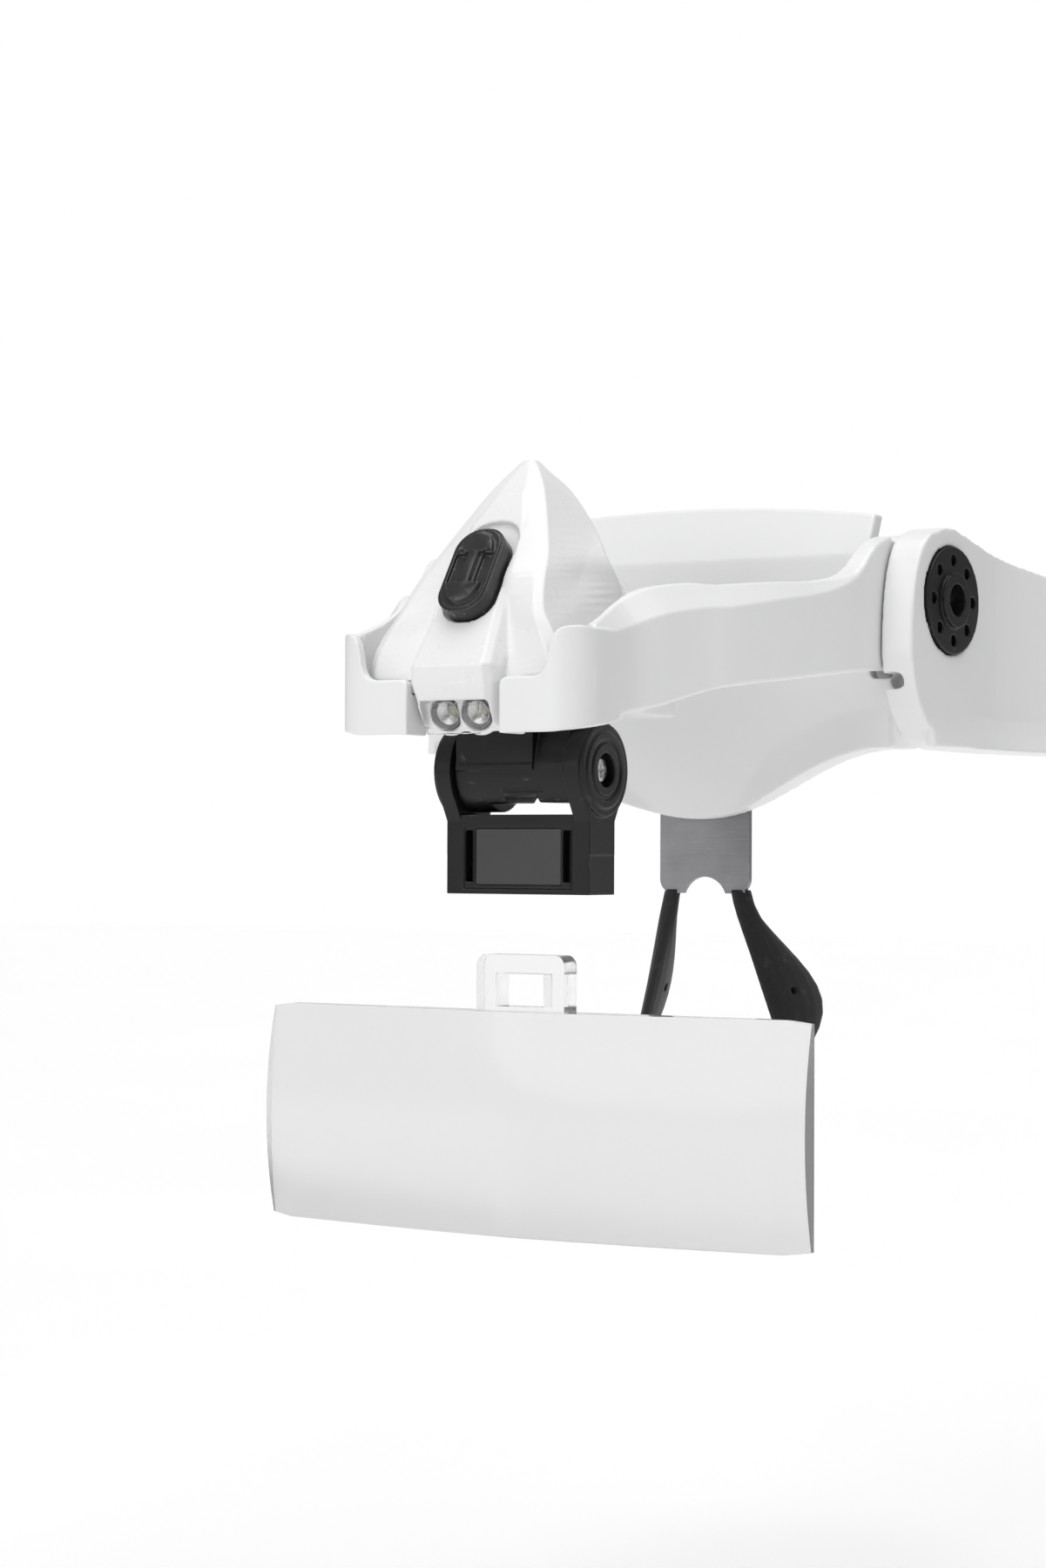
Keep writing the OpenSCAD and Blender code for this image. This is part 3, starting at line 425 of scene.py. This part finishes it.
def lip_meshes():
    """The flare along the lower edge of the brow and of each side frame."""
    front, side = [], []
    for i in range(STEPS + 1):
        x = LIP_IN + (LIP_OUT - LIP_IN) * i / STEPS
        z = lobe_z(x)
        grow = math.sin(math.radians(90 * min(1, (x - LIP_IN) / 13))) + 0.02
        high = LIP_HIGH * grow + 0.4
        front.append([(x, brow_y(z) + 1.2, z + 0.1), (x, brow_y(z) - 2.7 * grow, z + 0.05),
                      (x, brow_y(z + high * 0.5) - 1.1 * grow, z + high * 0.5),
                      (x, brow_y(z + high) + 0.12, z + high),
                      (x, brow_y(z + high) + 1.4, z + high)])
    for i in range(STEPS + 1):
        y = SIDE_START + SIDE_LENGTH * i / STEPS
        z = side_low(y) + 0.1
        grow = 0.2 + 0.8 * math.sin(math.pi * (i / STEPS) ** 0.8)
        high = LIP_HIGH - 2 * i / STEPS
        side.append([(side_x(y) - 1.2, y, z), (side_x(y) - 1.2, y, z + high),
                     (side_x(y) - 0.12, y, z + high), (side_x(y) + 1.1 * grow, y, z + high * 0.5),
                     (side_x(y) + 2.7 * grow, y, z)])
    right = [loft("lip_front", front), loft("lip_side", side)]
    return right + [mirrored(m) for m in right]


brow = refined("brow_moulding", ["brow_shell"], 0.36, 9, 0.3, extra=lip_meshes())
paint(brow, WHITE)

for side in ("left", "right"):
    for part, voxel, steps, keep, material, slot in (
            ("hub_disc", 0.13, 4, 0.3, BLACK, "black_plastic"),
            ("nose_pad", 0.2, 26, 0.35, RUBBER, "black_rubber"),
            ("temple", 0.3, 14, 0.3, WHITE, "white_plastic"),
            ("temple_sleeve", 0.26, 14, 0.3, RUBBER, "black_rubber")):
        piece = refined(f"{part}_{side}_moulding", [f"{part}_{side}"], voxel, steps, keep)
        paint(piece, material)

soften("nose_bracket", 0.18, 35)
paint(nodes["nose_bracket"], BRUSHED)
STEEL = ("hub_screws", "hub_nuts", "hub_washers", "bracket_screws", "temple_pins",
         "block_screws", "holder_screw", "holder_nut", "lamp_screws", "lamp_pins",
         "door_screw", "coin_cell_upper", "coin_cell_lower")
CONTACTS = ("cell_contact_upper", "cell_contact_lower")
for names, width, material in ((STEEL, 0.08, PLATED), (CONTACTS, 0.05, BRASS),
                               (("circuit_board",), 0.08, BOARD),
                               (("slide_switch",), 0.12, BLACK)):
    for name in names:
        soften(name, width, 40, 2)
        paint(nodes[name], material)

# ---------- visor ----------

visor = refined("visor_moulding", ["visor_frame"], 0.27, 7, 0.3)
paint(visor, WHITE)


def slab(name, low, high):
    """A box between two corners."""
    (a, b, c), (d, e, f) = low, high
    return loft(name, [[(a, b, z), (d, b, z), (d, e, z), (a, e, z)] for z in (c, f)])


ledges = [slab("panel", (-9.3, -68.75, 29.4), (4.3, -66, 36.6)),
          slab("rib", (-9.3, -68.95, 29.0), (4.3, -67, 29.9)),
          slab("web", (-1.8, -67.65, 25.7), (5.2, -66, 26.5))]
block = refined("hinge_block_moulding", ["hinge_block"], 0.14, 6, 0.3, extra=ledges)
paint(block, BLACK)

# ---------- holder and lens ----------

holder = refined("lens_holder_moulding", ["lens_holder"], 0.125, 7, 0.3)
paint(holder, BLACK)
soften("lens_latch", 0.3, 40)
paint(nodes["lens_latch"], BLACK_PANEL)
soften("lens_plate", 0.35, 24)
paint(nodes["lens_plate"], ACRYLIC)

# ---------- lamp ----------

LIGHT_X, LIGHT_Y, LIGHT_Z = 2.65, -81.6, 37.1
LIGHT_TURN = Matrix.Rotation(math.radians(110), 4, "X")


def light_place(x):
    """Puts a mesh made upright at the origin where a light is."""
    return Matrix.Translation(Vector((x, LIGHT_Y, LIGHT_Z)) * MM) @ LIGHT_TURN


def circle(r, z, n):
    """A level ring of points."""
    return [(r * math.cos(math.tau * j / n), r * math.sin(math.tau * j / n), z)
            for j in range(n)]


def tube(name, profile, x, n=48):
    """A closed turned ring round a light, from radius and height pairs."""
    m = len(profile)
    points = [p for r, z in profile for p in circle(r, z, n)]
    faces = [(i * n + j, i * n + (j + 1) % n, (i + 1) % m * n + (j + 1) % n, (i + 1) % m * n + j)
             for i in range(m) for j in range(n)]
    mesh = mesh_of(name, points, faces)
    mesh.transform(light_place(x))
    return mesh


BEZEL = [(2.56, -3), (3.5, -3), (3.55, 0.1), (3.2, 0.5), (2.75, 0.5), (2.56, 0.2)]
bezel = [tube("bezel", BEZEL, x) for x in (-LIGHT_X, LIGHT_X)]
housing = refined("lamp_moulding", ["lamp_housing"], 0.22, 34, 0.6, extra=bezel)
paint(housing, WHITE_LAMP)
base = refined("lamp_base_moulding", ["lamp_base"], 0.26, 5, 0.3)
paint(base, WHITE)
door = refined("battery_door_moulding", ["battery_door"], 0.2, 4, 0.4)
paint(door, WHITE)


def smooth(x, low, high):
    """Rises softly from 0 at low to 1 at high."""
    t = np.clip((x - low) / (high - low), 0, 1)
    return t * t * (3 - 2 * t)


# The knob's centre in the CAD, and how far its face leans
KNOB_Y, KNOB_Z, KNOB_LEAN = -77.627, 57.2, math.radians(90 - 33.4)


def arrow_relief(co):
    """Raised heads at both ends of the knob's centre bar."""
    lean_cos, lean_sin = math.cos(KNOB_LEAN), math.sin(KNOB_LEAN)
    across, y, z = co[:, 0], co[:, 1] - KNOB_Y, co[:, 2] - KNOB_Z
    end = np.abs(y * lean_cos + z * lean_sin)
    out = -y * lean_sin + z * lean_cos
    half = 3.1 * np.sqrt(np.clip(1 - ((end - 2.6) / 4.0) ** 2, 0, 1))
    head = smooth(half - np.abs(across), 0, 0.3) * smooth(end, 2.6, 2.85)
    raised = np.maximum(head, smooth(1.0 - np.abs(across), 0, 0.3) * smooth(4 - end, 0, 0.3))
    lift = (0.65 * raised - 0.25) * smooth(out, 1.9, 2.3)
    co[:, 1] -= lift * lean_sin
    co[:, 2] += lift * lean_cos
    return co


knob = refined("switch_knob_moulding", ["switch_knob"], 0.1, 5, 0.35, shape=arrow_relief)
paint(knob, BLACK_KNOB)
soften("lamp_window", 0.08, 40, 2)
paint(nodes["lamp_window"], WINDOW)


def turned(outline, n=40):
    """Rings of a turned form, from radius and height pairs."""
    return [circle(r, z, n) for r, z in outline]


def light_piece(side, x):
    """A clear lamp with its reflector cup, die and two posts seen inside."""
    angles = [math.radians(5 * i) for i in range(18)]
    dome = [(2.45 * math.cos(a), 0.2 + 2.3 * math.sin(a)) for a in angles]
    body = [(0.2, -5), (2.3, -5), (2.45, -4.85), (2.45, -4), (2.45, -1.5)]
    resin = loft("resin", turned(body + dome + [(0.08, 2.5)]))
    cup = loft("cup", turned([(0.3, -4.6), (0.62, -4.5), (0.7, -1.6), (1.15, -0.5), (1.2, -0.25),
                              (1.1, -0.22), (0.75, -0.95), (0.1, -1.0)], 28))
    die = loft("die", turned([(0.05, -0.95), (0.5, -0.93), (0.52, -0.8), (0.3, -0.66),
                              (0.02, -0.64)], 24))
    corners = [(-0.28, -0.28), (0.28, -0.28), (0.28, 0.28), (-0.28, 0.28)]
    posts = [loft("post", [[(s + dx, dy, z) for dx, dy in corners]
                           for z in (-6.6, -5.5, -4.2, top)])
             for s, top in ((-1.27, -1.8), (1.27, -0.6))]
    # Each mesh, its place in the list of materials below, and whether it is round
    parts = [(resin, 0, True), (cup, 1, True), (die, 2, True)] + [(p, 1, False) for p in posts]
    bm = bmesh.new()
    for mesh, material, rounded in parts:
        first = len(bm.faces)
        bm.from_mesh(mesh)
        bm.faces.ensure_lookup_table()
        for face in bm.faces[first:]:
            face.material_index = material
            face.smooth = rounded
    mesh = bpy.data.meshes.new(f"light_{side}_resin")
    bm.to_mesh(mesh)
    bm.free()
    mesh.transform(light_place(x))
    piece = put(f"light_{side}_resin", mesh)
    for material in (RESIN, PLATED, PHOSPHOR):
        piece.data.materials.append(material)
    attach(piece, nodes[f"light_{side}"]["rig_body"])
    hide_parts(f"light_{side}")


light_piece("left", -LIGHT_X)
light_piece("right", LIGHT_X)

# ---------- stage ----------

FLOOR_HALF, FLOOR_Z = 4000, -120
corners = [(x * FLOOR_HALF, y * FLOOR_HALF, FLOOR_Z)
           for x, y in ((-1, -1), (1, -1), (1, 1), (-1, 1))]
floor = put("floor", mesh_of("floor", corners, [(0, 1, 2, 3)]))
stone, tree, body = shader("floor_pale")
tree.links.new(ramp(tree, noise(tree, 6, 2), 0.3, 0.7, 0.6, 0.7), body.inputs["Roughness"])
body.inputs["Base Color"].default_value = (0.97, 0.97, 0.97, 1)
floor.data.materials.append(stone)

world = bpy.data.worlds.new("studio")
bpy.context.scene.world = world
world.use_nodes = True
# The camera sees a white background, and everything else a dimmer sky
sky = world.node_tree
backdrop, light_on = sky.nodes["Background"], sky.nodes.new("ShaderNodeBackground")
backdrop.inputs[0].default_value = light_on.inputs[0].default_value = (1, 1, 1, 1)
backdrop.inputs[1].default_value = 1.0
light_on.inputs[1].default_value = 0.22
seen, either = sky.nodes.new("ShaderNodeLightPath"), sky.nodes.new("ShaderNodeMixShader")
sky.links.new(seen.outputs["Is Camera Ray"], either.inputs[0])
sky.links.new(light_on.outputs[0], either.inputs[1])
sky.links.new(backdrop.outputs[0], either.inputs[2])
sky.links.new(either.outputs[0], sky.nodes["World Output"].inputs[0])


def soft_sun(name, come_from, strength, spread):
    """A wide soft light from one direction; spread is in degrees."""
    data = bpy.data.lights.new(name, "SUN")
    data.energy = strength
    data.angle = math.radians(spread)
    lamp = bpy.data.objects.new(name, data)
    bpy.context.scene.collection.objects.link(lamp)
    lamp.rotation_euler = (-Vector(come_from)).to_track_quat("-Z", "Y").to_euler()


soft_sun("key", (-0.25, -1.0, 0.5), 1.05, 50)
soft_sun("top", (0.1, -0.1, 1.0), 2.1, 60)
soft_sun("behind", (-0.3, 1.0, 0.4), 0.4, 60)

# ---------- camera ----------

# Found by matching points of the CAD to the photograph, whose height is 1801 pixels
FOCAL_PIXELS, HEIGHT_PIXELS, SENSOR = 3500, 1801, 36
CAMERA_PLACE = (238.07, -462.2, 16.61)
yaw, pitch, roll = math.radians(30.89), math.radians(1.28), math.radians(0.27)
ahead = Vector((-math.sin(yaw) * math.cos(pitch), math.cos(yaw) * math.cos(pitch), math.sin(pitch)))
right = Vector((math.cos(yaw), math.sin(yaw), 0))
up = right.cross(ahead)
rolled_right = math.cos(roll) * right + math.sin(roll) * up
rolled_up = -math.sin(roll) * right + math.cos(roll) * up
view = bpy.data.cameras.new("view")
view.sensor_fit = "AUTO"
view.sensor_width = SENSOR
view.lens = FOCAL_PIXELS / HEIGHT_PIXELS * SENSOR
view.clip_start = 0.01
view.clip_end = 50
camera = bpy.data.objects.new("camera", view)
bpy.context.scene.collection.objects.link(camera)
turn = Matrix((rolled_right, rolled_up, -ahead)).transposed()
camera.matrix_world = Matrix.Translation(Vector(CAMERA_PLACE) * MM) @ turn.to_4x4()
bpy.context.scene.camera = camera
bpy.context.scene.view_settings.view_transform = "Standard"
